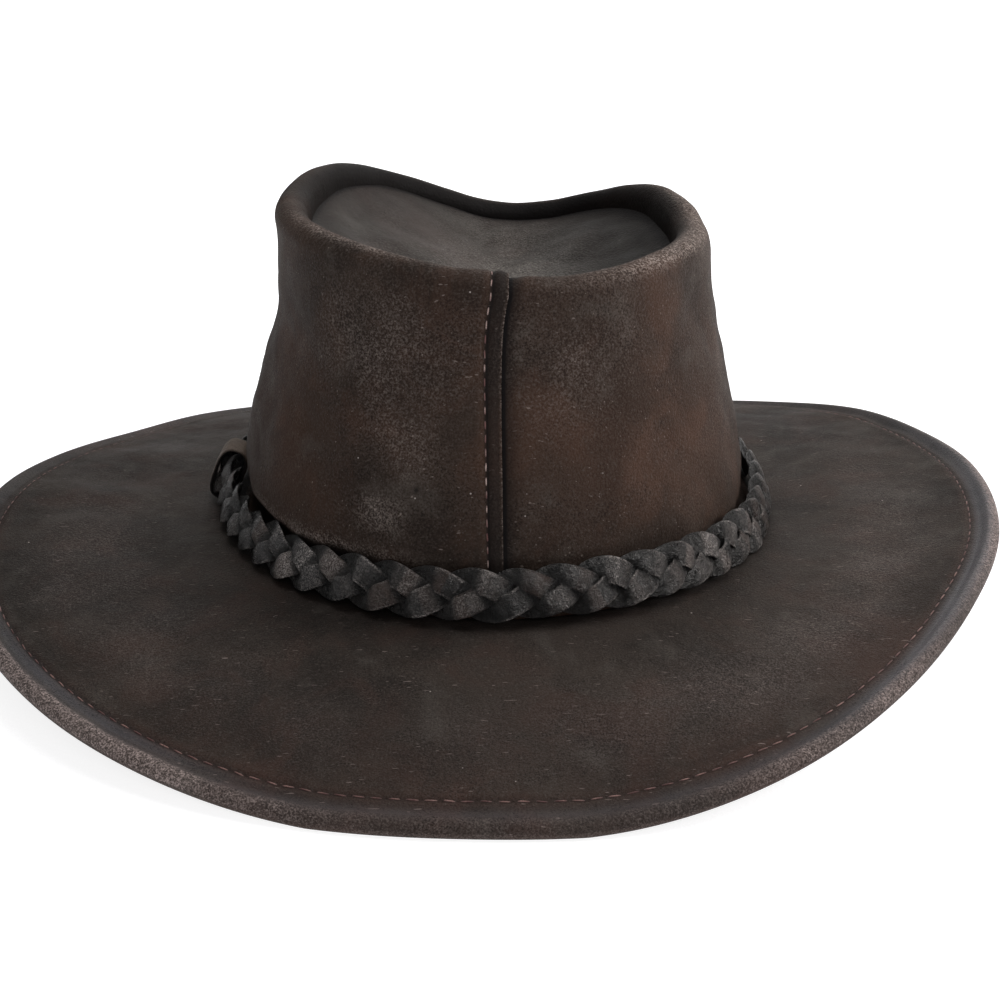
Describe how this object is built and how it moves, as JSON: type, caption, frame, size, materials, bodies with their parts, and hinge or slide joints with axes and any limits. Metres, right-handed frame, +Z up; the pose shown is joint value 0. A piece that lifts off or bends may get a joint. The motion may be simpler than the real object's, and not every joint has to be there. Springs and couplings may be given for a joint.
{
  "type": "leather bush hat",
  "caption": "Wide-brimmed leather bush hat with an open crown, a rolled ridge round a sunken tip, a turned and sewn brim edge and a plaited leather band.",
  "frame": {"origin": "on the surface the hat stands on, under the middle of the whole hat", "axes": "+Z up, +Y towards the hat's front, +X towards the wearer's right; the back seam is at -Y"},
  "size_m": [0.3502, 0.3722, 0.1383],
  "materials": {
    "brim_leather": "dark brown oiled leather, matt with a grey bloom, worn along the edge",
    "crown_leather": "dark brown oiled leather, matt with a grey bloom, grainy where worn",
    "tip_leather": "dark brown oiled leather, smoother and greyer",
    "braid_leather": "near black lace leather, semi-gloss",
    "keeper_leather": "lighter brown raw leather",
    "stitch_thread": "dark red-brown waxed thread"
  },
  "bodies": {
    "root": {"brim": "brim_leather", "crown_side": "crown_leather", "crown_tip": "tip_leather", "braid_strand_1": "braid_leather", "braid_strand_2": "braid_leather", "braid_strand_3": "braid_leather", "braid_keeper": "keeper_leather"}
  },
  "joints": []
}
